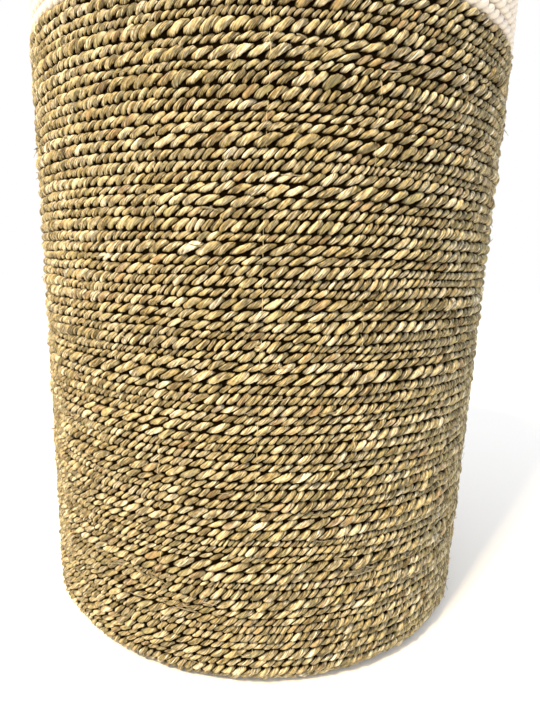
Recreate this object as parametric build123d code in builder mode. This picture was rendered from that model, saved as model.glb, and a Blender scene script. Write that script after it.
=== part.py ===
"""Coiled laundry basket: twisted plant-fibre cord below, white cotton rope above, rope handles.

The cord lies in courses. Each course presses into the one below it, so the section of a coil is a
row of round bulges that meet at narrow flats. Neighbouring coils meet face to face at such a flat.
The origin is the centre of the underside, +Z is up and the handles stand at +X and -X.
"""

from build123d import *
import os
from math import atan2, ceil, cos, degrees, hypot, pi, sin, sqrt

os.makedirs("parts", exist_ok=True)

# Driving dimensions, in millimetres

# overall shape
floor_radius = 195.0  # outside of the lowest upright course
shoulder_radius = 203.0  # outside of the wall where the white band starts
natural_height = 468.0  # floor to the start of the white band
band_height = 127.5  # white band, without the rim rope
heel_radius = 13.0  # centre line of the cord where the base turns up into the wall

# cords
cord_diameter = 7.4  # natural two-ply cord
cord_press = 0.55  # how far neighbouring courses press into each other
sole_wear = 0.6  # pressed flat under the base
rope_diameter = 10.4  # white cotton rope
rope_press = 0.6
rim_diameter = 12.0  # the last, thicker course

# how the cords divide into pieces
base_lengths = 2
wall_lengths = 11
band_lengths = 2

# sewing thread that runs through the middle of the courses
thread_diameter = 1.2
thread_clearance = 0.15
thread_end_gap = 0.3  # a thread stops this far inside each end of its hole
wall_threads_count = 18
base_threads_count = 12
base_thread_start = 10.0  # radius where the threads of the base begin

# overcast stitches over the rim
stitch_thickness = 1.6
stitch_clearance = 0.15
stitch_count = 36

# handles
handle_diameter = 14.0
handle_span = 140.0  # between the centres of the two legs
handle_gap = 50.0  # rim to the underside of the rope, for the fingers
handle_corner = 48.0  # centre line radius where a leg turns into the grip
leg_depth = 55.0  # leg below the top of the band
leg_clearance = 0.3
grip_thickness = 2.0
grip_clearance = 0.1
grip_overrun = 4.0  # wrap that runs down each leg below the corner

# lashings, three turns of cotton cord round each leg and through the band
lashing_thickness = 2.0
lashing_height = 2.4
lashing_clearance = 0.25
lashing_turns = 3
lashing_first_course = 9  # the first turn lies on top of this course of the band

# Sizes worked out from the dimensions above

cord_radius = cord_diameter / 2
rope_radius = rope_diameter / 2
rim_radius = rim_diameter / 2
handle_radius = handle_diameter / 2
base_middle = cord_radius - sole_wear  # height of the cord's centre in the base
flat_radius = floor_radius - cord_radius - heel_radius  # where the base starts to turn up
heel_top = base_middle + heel_radius


def courses_in(length, diameter, press):
    """How many courses fill a length."""
    return round(length / (diameter - press))


def half_flat(radius, pitch):
    """Half the width of the flat where two courses press together."""
    return sqrt(radius**2 - (pitch / 2) ** 2)


base_courses = courses_in(flat_radius, cord_diameter, cord_press)
base_pitch = flat_radius / (base_courses + 0.5)  # the eye at the centre is half a course
heel_courses = ceil(heel_radius * pi / 2 / cord_diameter)
heel_pitch = heel_radius * pi / 2 / heel_courses
wall_courses = courses_in(natural_height - heel_top, cord_diameter, cord_press)
wall_pitch = (natural_height - heel_top) / wall_courses
band_courses = courses_in(band_height, rope_diameter, rope_press)
band_pitch = band_height / band_courses
band_top = natural_height + band_height
band_flat = half_flat(rope_radius, band_pitch)

wall_foot = floor_radius - cord_radius  # centre line of the wall at the heel
wall_head = shoulder_radius - cord_radius  # and at the white band
band_middle = shoulder_radius - rope_radius
band_inside = band_middle - rope_radius
rim_middle = band_top + sqrt(rim_radius**2 - band_flat**2)
rim_top = rim_middle + rim_radius
stitch_inside = rim_radius + stitch_clearance
stitch_outside = stitch_inside + stitch_thickness


# The centre line of the courses: radius, height and direction at a distance along it


def base_path(distance):
    """Flat spiral of the base, outwards from the eye."""
    return base_pitch / 2 + distance, base_middle, 0.0


def heel_path(distance):
    """Quarter turn from the base up into the wall."""
    turn = distance / heel_radius
    return (
        flat_radius + heel_radius * sin(turn),
        heel_top - heel_radius * cos(turn),
        turn,
    )


def wall_path(distance):
    """Wall of natural cord, which widens a little on the way up."""
    share = distance / (natural_height - heel_top)
    return wall_foot + (wall_head - wall_foot) * share, heel_top + distance, pi / 2


def band_path(distance):
    """Upright wall of white rope."""
    return band_middle, natural_height + distance, pi / 2


def coil_outline(path, first, last, pitch, radius, reach_axis=False):
    """Outline of the courses from first up to last, inside a BuildSketch."""
    flat = half_flat(radius, pitch)

    def beside(distance, offset):
        across, up, direction = path(distance)
        return across - offset * sin(direction), up + offset * cos(direction)

    with BuildLine() as outline:
        for side in (1, -1):
            for course in range(first, last):
                ThreePointArc(
                    beside(course * pitch, side * flat),
                    beside((course + 0.5) * pitch, side * radius),
                    beside((course + 1) * pitch, side * flat),
                )
        start, end = first * pitch, last * pitch
        Line(beside(end, flat), beside(end, -flat))
        if reach_axis:
            eye = beside(start, 0)[1]
            Polyline(beside(start, flat), (0, eye + flat), (0, eye - flat), beside(start, -flat))
        else:
            Line(beside(start, flat), beside(start, -flat))
    make_face(outline.line)


def shares(count, pieces):
    """Split a number of courses into runs that are as even as whole courses allow."""
    ends = [count * piece // pieces for piece in range(pieces + 1)]
    return list(zip(ends, ends[1:]))


def finish(part, name):
    """Label a finished piece and write it."""
    part.label = name
    export_step(part, f"parts/{name}.step")


# Sewing threads, as planes that face along each thread

wall_thread_length = hypot(wall_head - wall_foot, natural_height - heel_top)


def thread_planes(foot_radius, foot_height, head_radius, head_height, count):
    """One plane per thread at its lower or inner end, all round the basket."""
    planes = []
    for thread in range(count):
        angle = 2 * pi * (thread + 0.5) / count
        outwards = Vector(cos(angle), sin(angle), 0)
        foot = outwards * foot_radius + Vector(0, 0, foot_height)
        head = outwards * head_radius + Vector(0, 0, head_height)
        planes.append(Plane(origin=foot, z_dir=head - foot))
    return planes


base_thread_planes = thread_planes(
    base_thread_start, base_middle, flat_radius, base_middle, base_threads_count
)
wall_thread_planes = thread_planes(
    wall_foot, heel_top, wall_head, natural_height, wall_threads_count
)
band_thread_planes = thread_planes(
    band_middle, natural_height, band_middle, band_top, wall_threads_count
)


base_thread_length = flat_radius - base_thread_start


def threads(planes, length):
    """The threads themselves, inside a BuildPart."""
    with BuildSketch(*[plane.offset(thread_end_gap) for plane in planes]) as sections:
        Circle(thread_diameter / 2)
    extrude(sections.sketch, amount=length - 2 * thread_end_gap)


def thread_holes(planes, length):
    """Room for the threads in a coil, inside its BuildPart."""
    with BuildSketch(*planes) as sections:
        Circle(thread_diameter / 2 + thread_clearance)
    extrude(sections.sketch, amount=length, mode=Mode.SUBTRACT)


with BuildPart() as base_threads:
    threads(base_thread_planes, base_thread_length)
finish(base_threads.part, "base_threads")

with BuildPart() as wall_threads:
    threads(wall_thread_planes, wall_thread_length)
finish(wall_threads.part, "wall_threads")

with BuildPart() as band_threads:
    threads(band_thread_planes, band_height)
finish(band_threads.part, "band_threads")


# Base: two lengths of cord in a flat spiral, pressed flat underneath

for index, (first, last) in enumerate(shares(base_courses, base_lengths), start=1):
    with BuildPart() as base_coil:
        with BuildSketch(Plane.XZ):
            coil_outline(base_path, first, last, base_pitch, cord_radius, reach_axis=first == 0)
        revolve(axis=Axis.Z)
        split(bisect_by=Plane.XY, keep=Keep.TOP)
        thread_holes(base_thread_planes, base_thread_length)
    finish(base_coil.part, f"base_coil_{index:02d}")

# Heel: the courses that turn the base up into the wall

with BuildPart() as heel_coil:
    with BuildSketch(Plane.XZ):
        coil_outline(heel_path, 0, heel_courses, heel_pitch, cord_radius)
    revolve(axis=Axis.Z)
    split(bisect_by=Plane.XY, keep=Keep.TOP)
finish(heel_coil.part, "heel_coil")

# Wall: lengths of natural cord, one above the other

for index, (first, last) in enumerate(shares(wall_courses, wall_lengths), start=1):
    with BuildPart() as wall_coil:
        with BuildSketch(Plane.XZ):
            coil_outline(wall_path, first, last, wall_pitch, cord_radius)
        revolve(axis=Axis.Z)
        thread_holes(wall_thread_planes, wall_thread_length)
    finish(wall_coil.part, f"wall_coil_{index:02d}")

# Handles: a rope arch inside the wall, with a cord wrap where the hand holds it

leg_seat = min(band_inside, band_middle - stitch_outside)  # the rim's stitches stand proud
leg_distance = leg_seat - leg_clearance - handle_radius  # from the basket's axis
handle_plane = sqrt(leg_distance**2 - (handle_span / 2) ** 2)
handle_top = rim_top + handle_gap + handle_radius
leg_foot = band_top - leg_depth
leg_angle = degrees(atan2(handle_span / 2, handle_plane))
sides = {"left": -1, "right": 1}
ends = {"front": -1, "back": 1}


def arch_sweep(side, foot, outer, inner):
    """Round rope, or the wrap round it, along an arch whose two legs start at the same height."""
    reach = handle_span / 2
    with BuildLine(Plane.YZ.offset(side * handle_plane)) as arch:
        FilletPolyline(
            (-reach, foot),
            (-reach, handle_top),
            (reach, handle_top),
            (reach, foot),
            radius=handle_corner,
        )
    with BuildSketch(Plane(origin=arch.line @ 0, z_dir=arch.line % 0)) as section:
        Circle(outer)
        if inner:
            Circle(inner, mode=Mode.SUBTRACT)
    sweep(section.sketch, path=arch.line)


for side_name, side in sides.items():
    with BuildPart() as handle:
        arch_sweep(side, leg_foot, handle_radius, 0)
    finish(handle.part, f"handle_{side_name}")

    with BuildPart() as grip_wrap:
        arch_sweep(
            side,
            handle_top - handle_corner - grip_overrun,
            handle_radius + grip_clearance + grip_thickness,
            handle_radius + grip_clearance,
        )
    finish(grip_wrap.part, f"grip_wrap_{side_name}")

# Lashings: each turn goes round the leg, through the band and along a valley outside it

lashing_inside = handle_radius + leg_clearance
lashing_outside = lashing_inside + lashing_thickness
lashing_inner_end = leg_distance - lashing_outside
lashing_outer_end = band_middle + band_flat + lashing_thickness
lashing_centre = (lashing_inner_end + lashing_outer_end) / 2
lashing_length = lashing_outer_end - lashing_inner_end


def lashing_rings(angle, clearance, mode):
    """The turns of one lashing, or the pockets for them with a clearance all round."""
    for turn in range(lashing_turns):
        height = natural_height + band_pitch * (lashing_first_course + turn)
        centre = Vector(lashing_centre, 0, height).rotate(Axis.Z, angle)
        outwards = Vector(1, 0, 0).rotate(Axis.Z, angle)
        inner_length = lashing_length - 2 * lashing_thickness - 2 * clearance
        with BuildSketch(Plane(origin=centre, x_dir=outwards, z_dir=(0, 0, 1))) as ring:
            SlotOverall(lashing_length + 2 * clearance, 2 * (lashing_outside + clearance))
            SlotOverall(inner_length, 2 * (lashing_inside - clearance), mode=Mode.SUBTRACT)
        extrude(ring.sketch, amount=lashing_height / 2 + clearance, both=True, mode=mode)


lashing_angles = {
    (side_name, end_name): leg_angle * end if side > 0 else 180 - leg_angle * end
    for side_name, side in sides.items()
    for end_name, end in ends.items()
}

for (side_name, end_name), angle in lashing_angles.items():
    with BuildPart() as lashing:
        lashing_rings(angle, 0, Mode.ADD)
    finish(lashing.part, f"lashing_{side_name}_{end_name}")

# Rim: the last, thicker course and the overcast stitches that hold it down

stitch_planes = []
for stitch in range(stitch_count):
    outwards = Vector(1, 0, 0).rotate(Axis.Z, 360 * (stitch + 0.5) / stitch_count)
    centre = outwards * band_middle + Vector(0, 0, rim_middle)
    stitch_planes.append(
        Plane(origin=centre, x_dir=outwards, z_dir=outwards.cross(Vector(0, 0, 1)))
    )

with BuildPart() as rim_rope:
    with BuildSketch(Plane.XZ):
        with Locations((band_middle, rim_middle)):
            Circle(rim_radius)
    revolve(axis=Axis.Z)
    split(bisect_by=Plane.XY.offset(band_top), keep=Keep.TOP)
finish(rim_rope.part, "rim_rope")

with BuildPart() as rim_binding:
    with BuildSketch(*stitch_planes):
        Circle(stitch_outside)
        Circle(stitch_inside, mode=Mode.SUBTRACT)
    extrude(amount=stitch_thickness / 2, both=True)
finish(rim_binding.part, "rim_binding")

# Band: lengths of white rope, with room for the lashings and for the stitches of the rim

for index, (first, last) in enumerate(shares(band_courses, band_lengths), start=1):
    with BuildPart() as band_coil:
        with BuildSketch(Plane.XZ):
            coil_outline(band_path, first, last, band_pitch, rope_radius)
        revolve(axis=Axis.Z)
        thread_holes(band_thread_planes, band_height)
        if last > lashing_first_course:
            for angle in lashing_angles.values():
                lashing_rings(angle, lashing_clearance, Mode.SUBTRACT)
        if last == band_courses:
            with BuildSketch(*stitch_planes):
                with Locations((0, -stitch_outside - stitch_clearance)):
                    Rectangle(rope_diameter, rim_radius, align=(Align.CENTER, Align.MIN))
            extrude(
                amount=stitch_thickness / 2 + stitch_clearance, both=True, mode=Mode.SUBTRACT
            )
    finish(band_coil.part, f"band_coil_{index:02d}")
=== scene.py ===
"""Visual model of a coiled laundry basket: twisted seagrass cord, a white cotton band, two handles.

The basket is one long cord laid round and round from the middle of the base to the rim. It climbs
evenly, and towards the rim it settles to level courses that step up at the back. Everything is
built from that line: the skins of the cords, the seams that hold the courses and the loose leaf
ends of the splices. Lengths are in metres unless a name ends in _mm.
"""

import logging
import math
from dataclasses import dataclass, field
from enum import Enum
from typing import Callable, ClassVar, Iterable, Optional, Sequence

import bpy
import numpy as np
from mathutils import Matrix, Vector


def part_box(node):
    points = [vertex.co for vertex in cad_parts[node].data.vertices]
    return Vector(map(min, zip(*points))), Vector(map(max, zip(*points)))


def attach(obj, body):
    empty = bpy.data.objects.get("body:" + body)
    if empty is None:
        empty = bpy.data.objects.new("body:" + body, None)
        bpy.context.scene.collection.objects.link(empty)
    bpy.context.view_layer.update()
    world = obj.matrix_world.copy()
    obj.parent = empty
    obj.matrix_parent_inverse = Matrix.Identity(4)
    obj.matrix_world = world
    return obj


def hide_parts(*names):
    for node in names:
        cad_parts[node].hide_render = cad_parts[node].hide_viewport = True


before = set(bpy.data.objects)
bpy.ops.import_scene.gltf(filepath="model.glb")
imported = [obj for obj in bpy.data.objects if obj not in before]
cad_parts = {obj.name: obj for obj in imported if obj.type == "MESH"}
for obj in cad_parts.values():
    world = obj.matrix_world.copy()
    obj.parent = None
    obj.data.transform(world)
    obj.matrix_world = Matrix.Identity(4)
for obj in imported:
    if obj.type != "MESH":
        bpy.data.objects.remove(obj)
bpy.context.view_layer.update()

LOG = logging.getLogger("basket")
MM = 0.001
BODY = "root"
TURN = 2 * math.pi
SEED = 7
UP = np.array((0.0, 0.0, 1.0))

Rings = tuple[np.ndarray, np.ndarray, np.ndarray]
Socket = bpy.types.NodeSocket


# --- Colour and nodes -------------------------------------------------------------------------


def linear(hex_colour: str) -> tuple[float, float, float, float]:
    """Turn an sRGB hex colour, with its leading hash, into linear red, green, blue and alpha."""
    channels = [int(hex_colour[i : i + 2], 16) / 255 for i in (1, 3, 5)]
    light = [c / 12.92 if c <= 0.04045 else ((c + 0.055) / 1.055) ** 2.4 for c in channels]
    return light[0], light[1], light[2], 1.0


def add_node(
    tree: bpy.types.NodeTree, kind: str, inputs: dict, **settings: object
) -> bpy.types.Node:
    """Add one node with its settings, values and links.

    Args:
        tree: the material's node tree.
        kind: Blender's name for the node, without ShaderNode.
        inputs: what goes into each input, by name or number: a value, or a socket to link.
        **settings: properties of the node itself.

    Returns:
        The new node.
    """
    node = tree.nodes.new("ShaderNode" + kind)
    for name, value in settings.items():
        setattr(node, name, value)
    for key, value in inputs.items():
        if isinstance(value, Socket):
            tree.links.new(value, node.inputs[key])
        else:
            node.inputs[key].default_value = value
    return node


class Surface:
    """A material being built, with one short method for each kind of node that it needs.

    Each method adds its node and returns the socket that it gives out.
    """

    def __init__(self, name: str) -> None:
        """Start an empty material.

        Args:
            name: the real material that it stands for.
        """
        self.material = bpy.data.materials.new(name)
        self.material.use_nodes = True
        self.tree = self.material.node_tree
        self.tree.nodes.clear()
        self.output = add_node(self.tree, "OutputMaterial", {})

    def add(self, kind: str, inputs: dict, **settings: object) -> bpy.types.Node:
        """Add a node to this material, as add_node does."""
        return add_node(self.tree, kind, inputs, **settings)

    def attribute(self, name: str) -> Socket:
        """Vector that the mesh carries under this name."""
        return self.add("Attribute", {}, attribute_name=name).outputs["Vector"]

    def split(self, vector: Socket) -> Sequence[Socket]:
        """The three numbers of a vector."""
        return self.add("SeparateXYZ", {0: vector}).outputs

    def noise(self, place: Socket, scale: float, detail: float, roughness: float = 0.5) -> Socket:
        """Soft noise that is read at a place."""
        inputs = {"Vector": place, "Scale": scale, "Detail": detail, "Roughness": roughness}
        return self.add("TexNoise", inputs).outputs["Fac"]

    def grain(self, scale: float, detail: float) -> Socket:
        """Noise through the solid, the same in every direction."""
        return self.noise(self.add("TexCoord", {}).outputs["Object"], scale, detail)

    def fibres(
        self, strand: Socket, stretch: float, pitch_mm: float, detail: float, roughness: float
    ) -> Socket:
        """Noise drawn out along a strand, with about one fibre to every pitch_mm across it."""
        scale = (stretch, 0.5 / pitch_mm, 1.0)
        drawn_out = self.add("VectorMath", {0: strand, 1: scale}, operation="MULTIPLY")
        return self.noise(drawn_out.outputs[0], 1.0, detail, roughness)

    def times(self, value: Socket, factor: object) -> Socket:
        """A value times a factor."""
        return self.add("Math", {0: value, 1: factor}, operation="MULTIPLY").outputs[0]

    def lay_on(self, base: Socket, value: Socket, weight: float) -> Socket:
        """A base value with a weighted one added."""
        inputs = {0: value, 1: weight, 2: base}
        return self.add("Math", inputs, operation="MULTIPLY_ADD").outputs[0]

    def spread(
        self, value: Socket, source: tuple[float, float], result: tuple[float, float] = (0.0, 1.0)
    ) -> Socket:
        """Carry a value over from one range to another and hold it inside."""
        names = ("From Min", "From Max", "To Min", "To Max")
        inputs = {"Value": value, **dict(zip(names, source + result))}
        return self.add("MapRange", inputs).outputs[0]

    def mix(self, factor: object, first: object, second: object, blend: str = "MIX") -> Socket:
        """Mix two colours."""
        inputs = {"Factor": factor, 6: first, 7: second}
        return self.add("Mix", inputs, data_type="RGBA", blend_type=blend).outputs[2]

    def ramp(self, value: Socket, stops: Sequence[tuple[float, object]]) -> Socket:
        """Read a ramp whose stops are a place from 0 to 1 and a hex colour or a grey value."""
        node = self.add("ValToRGB", {"Fac": value})
        elements = node.color_ramp.elements
        elements.remove(elements[-1])
        for index, (place, shade) in enumerate(stops):
            element = elements[0] if index == 0 else elements.new(place)
            element.position = place
            element.color = linear(shade) if isinstance(shade, str) else (shade,) * 3 + (1.0,)
        return node.outputs["Color"]

    def bump(self, height: Socket, strength: float, distance: float) -> Socket:
        """Fine relief."""
        inputs = {"Height": height, "Strength": strength, "Distance": distance}
        return self.add("Bump", inputs).outputs[0]

    def close(self, inputs: dict) -> bpy.types.Material:
        """Finish the material with its shader.

        Args:
            inputs: what goes into the shader.

        Returns:
            The finished material.
        """
        shader = self.add("BsdfPrincipled", inputs)
        self.tree.links.new(shader.outputs[0], self.output.inputs["Surface"])
        return self.material


# --- Finishes ---------------------------------------------------------------------------------


@dataclass(frozen=True)
class SeagrassFinish:
    """Dried seagrass leaf, hand-twisted into two-ply cord.

    The leaf is waxy, so a lobe has a soft broad highlight. Fine ribs run along each ply, strips of
    folded leaf wrap round it at a slant with a crease between them that is darkened with painted
    shade, and every bundle of leaf has dried to its own tan, straw or cream, with a few green or
    brown ones. Painted shade darkens the grooves between lobes and between courses.
    """

    name: str = "seagrass_two_ply"
    dark: str = "#5f4e2b"
    tan: str = "#a3935f"
    straw: str = "#c5b991"
    cream: str = "#f5efda"
    green: str = "#9b9868"
    brown: str = "#a07e54"
    shade: str = "#130b01"
    rib_mm: float = 0.45
    rib_stretch: float = 0.07
    rib_weight: float = 1.3
    strip_mm: float = 1.5
    strip_length_mm: float = 6.0
    strip_slant_deg: float = 24.0
    strip_weight: float = 0.65
    mottle_scale: float = 420.0
    mottle_weight: float = 1.1
    tone_range: tuple[float, float] = (1.45, 2.6)
    green_range: tuple[float, float] = (0.88, 0.98)
    brown_range: tuple[float, float] = (0.12, 0.02)
    odd_strength: float = 0.5
    crease: float = 0.9
    crease_shade: float = 0.85
    fold_scale: float = 0.13
    fold_range: tuple[float, float] = (0.35, 0.55)
    strip_relief: float = 0.8
    crease_relief: float = 0.7
    bump_strength: float = 0.8
    bump_height: float = 0.6 * MM
    rough_range: tuple[float, float] = (0.64, 0.42)
    gloss: float = 0.45

    def make(self) -> bpy.types.Material:
        """Build the material.

        Returns:
            The finished material.
        """
        skin = Surface(self.name)
        strand = skin.attribute("strand")
        pale, hue, painted_light = skin.split(skin.attribute("lobe"))
        ribs = skin.fibres(strand, self.rib_stretch, self.rib_mm, 3.0, 0.6)

        # strips: long cells that cross the ply at a slant, each with its own tone
        slant = {
            "Vector": strand,
            "Rotation": (0.0, 0.0, math.radians(self.strip_slant_deg)),
            "Scale": (self.strip_length_mm, self.strip_mm, 1.0),
        }
        slanted = skin.add("Mapping", slant, vector_type="TEXTURE").outputs[0]
        cells = {"Vector": slanted, "Scale": 1.0}
        cell = skin.add("TexVoronoi", cells)
        strip_tone = skin.add("SeparateColor", {"Color": cell.outputs["Color"]}).outputs[0]
        border = skin.add("TexVoronoi", cells, feature="DISTANCE_TO_EDGE").outputs["Distance"]
        edge = skin.ramp(border, [(0.0, 0.0), (0.08, 0.12), (0.24, 1.0)])
        # creases show only where the leaf is folded; along them the colour is darkened as painted
        # shade
        patches = skin.noise(strand, self.fold_scale, 1.0)
        folded = skin.spread(patches, self.fold_range, (0.0, self.crease))
        fold = {"Factor": folded, 2: 1.0, 3: edge}
        edge_tone = skin.add("Mix", fold, data_type="FLOAT").outputs[0]

        # tone: how pale this bundle dried, with strips, ribs and a mottle on top
        tone = skin.lay_on(pale, strip_tone, self.strip_weight)
        tone = skin.lay_on(tone, ribs, self.rib_weight)
        tone = skin.lay_on(tone, skin.grain(self.mottle_scale, 3.0), self.mottle_weight)
        stops = [(0.0, self.dark), (0.3, self.tan), (0.62, self.straw), (1.0, self.cream)]
        colour = skin.ramp(skin.spread(tone, self.tone_range), stops)
        odd = (0.0, self.odd_strength)
        colour = skin.mix(skin.spread(hue, self.green_range, odd), colour, linear(self.green))
        colour = skin.mix(skin.spread(hue, self.brown_range, odd), colour, linear(self.brown))
        # painted shade along the creases between strips
        colour = skin.mix(self.crease_shade, colour, edge_tone, "MULTIPLY")

        # painted shade: the grooves between lobes and courses, deeper on the undersides, are darkened
        # towards the near-black shade colour and lose their gloss
        depth = skin.ramp(painted_light, [(0.0, 0.0), (0.2, 0.03), (0.5, 0.4), (0.85, 1.0)])
        relief = skin.lay_on(ribs, strip_tone, self.strip_relief)
        relief = skin.lay_on(relief, edge_tone, self.crease_relief)
        return skin.close(
            {
                "Base Color": skin.mix(depth, linear(self.shade), colour),
                "Roughness": skin.spread(ribs, (0.3, 0.7), self.rough_range),
                "Normal": skin.bump(relief, self.bump_strength, self.bump_height),
                "Specular IOR Level": skin.times(depth, self.gloss),
            }
        )


@dataclass(frozen=True)
class CottonFinish:
    """Bleached cotton, spun and laid into soft rope.

    The surface scatters light in its fuzz, so it looks chalky and even, with fine yarns that run
    along each strand. Painted shade greys it between the strands and between courses.
    """

    name: str
    white: str = "#d3cec6"
    grey: str = "#aea69a"
    yarn_mm: float = 0.8
    yarn_stretch: float = 0.16
    yarn_weight: float = 0.6
    tone_range: tuple[float, float] = (0.3, 0.95)
    fuzz_scale: float = 900.0
    fuzz_relief: float = 0.5
    bump_strength: float = 0.6
    bump_height: float = 0.5 * MM
    roughness: float = 0.9
    sheen: float = 0.35

    def make(self) -> bpy.types.Material:
        """Build the material.

        Returns:
            The finished material.
        """
        skin = Surface(self.name)
        pale, _, painted_light = skin.split(skin.attribute("lobe"))
        strand = skin.attribute("strand")
        yarns = skin.fibres(strand, self.yarn_stretch, self.yarn_mm, 4.0, 0.65)
        tone = skin.spread(skin.lay_on(pale, yarns, self.yarn_weight), self.tone_range)
        stops = [(0.0, self.grey), (0.6, self.white), (1.0, self.white)]
        relief = skin.lay_on(yarns, skin.grain(self.fuzz_scale, 2.0), self.fuzz_relief)
        return skin.close(
            {
                # painted shade greys the rope in its grooves
                "Base Color": skin.ramp(skin.times(tone, painted_light), stops),
                "Roughness": self.roughness,
                "Normal": skin.bump(relief, self.bump_strength, self.bump_height),
                "Sheen Weight": self.sheen,
                "Sheen Roughness": 0.5,
            }
        )


@dataclass(frozen=True)
class PaperFinish:
    """Matte white background paper, which gives a plain pale ground with no pattern."""

    name: str = "background_paper"
    white: str = "#ffffff"
    roughness: float = 0.95

    def make(self) -> bpy.types.Material:
        """Build the material.

        Returns:
            The finished material.
        """
        inputs = {"Base Color": linear(self.white), "Roughness": self.roughness}
        return Surface(self.name).close(inputs)


# --- Geometry shared by every cord ------------------------------------------------------------


def smooth_step(value: np.ndarray) -> np.ndarray:
    """Ease from 0 to 1, flat at both ends."""
    clipped = np.clip(value, 0.0, 1.0)
    return clipped * clipped * (3 - 2 * clipped)


def held_values(place: np.ndarray, values: np.ndarray, change: float) -> np.ndarray:
    """Values that hold over each whole step and change quickly at its end.

    Args:
        place: where to read, in steps.
        values: one value for each step, used round and round.
        change: share of a step over which one value turns into the next.

    Returns:
        The value at each place.
    """
    step = np.floor(place).astype(int)
    blend = smooth_step((place - step - (1 - change)) / change)
    count = len(values)
    return values[step % count] * (1 - blend) + values[(step + 1) % count] * blend


def unit(vectors: np.ndarray) -> np.ndarray:
    """The same directions with a length of one."""
    return vectors / np.linalg.norm(vectors, axis=1, keepdims=True)


def square_to(vectors: np.ndarray, along: np.ndarray) -> np.ndarray:
    """Unit vectors with what runs along a direction taken out."""
    return unit(vectors - along * np.sum(vectors * along, 1, keepdims=True))


def interpolate(at: np.ndarray, places: np.ndarray, vectors: np.ndarray) -> np.ndarray:
    """Read rows of vectors, known at some places, at others."""
    return np.stack([np.interp(at, places, vectors[:, axis]) for axis in range(3)], -1)


def length_along(line: np.ndarray) -> np.ndarray:
    """Distance along a line to each of its points."""
    return np.concatenate(([0], np.cumsum(np.linalg.norm(np.diff(line, axis=0), axis=1))))


@dataclass
class CordPath:
    """A cord's centre line with a cross-section frame at each ring.

    Attributes:
        point: centre of each ring.
        outward: direction of the cord's outer side at each ring.
        upward: direction across the cord, square to outward.
        diameter: cord diameter at each ring.
        phase: how far the plies have turned round the cord, in radians.
        run: distance along the cord.
    """

    point: np.ndarray
    outward: np.ndarray
    upward: np.ndarray
    diameter: np.ndarray
    phase: np.ndarray
    run: np.ndarray


class Lay(Enum):
    """How many plies a cord is twisted from."""

    TWO_PLY = 2
    THREE_STRAND = 3


@dataclass(frozen=True)
class GrooveShade:
    """Where a twisted skin gets little light, as shares of a lobe's half width and of the radius.

    Attributes:
        lower, upper: where the groove starts on the lower and on the upper side of a lobe.
        strength: how much of the light the bottom of a groove loses.
        corner, corner_start, corner_width: the pocket where a groove runs out under a neighbour.
        low, low_under: depth that gets no light, and what the underside adds to it.
        span, span_under: depth over which light comes back, and what the underside adds to it.
        under_width: height over which the underside begins.
    """

    lower: float = 0.8
    upper: float = 0.88
    strength: float = 0.66
    corner: float = 0.2
    corner_start: float = 0.52
    corner_width: float = 0.45
    low: float = 0.1
    low_under: float = 0.17
    span: float = 0.24
    span_under: float = 0.05
    under_width: float = 0.4

    def groove(self, angle: float, edge: float) -> float:
        """Light in the groove between lobes."""
        start = self.lower if angle < 0 else self.upper
        return 1 - self.strength * smooth_step((edge - start) / (1 - start))

    def gap(self, edge: float, share: np.ndarray, rise: np.ndarray) -> np.ndarray:
        """Light between neighbouring courses.

        Args:
            edge: place on the lobe, from 0 at its crown to 1 in the groove.
            share: distance from the cord's middle plane, as a share of its radius.
            rise: height above the cord's centre, as a share of its diameter.

        Returns:
            Share of the light that is left.
        """
        under = smooth_step(-rise / self.under_width + 0.5)
        corner = self.corner * smooth_step((edge - self.corner_start) / self.corner_width)
        low = self.low + self.low_under * under + corner
        return smooth_step((share - low) / (self.span + self.span_under * under))


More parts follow.
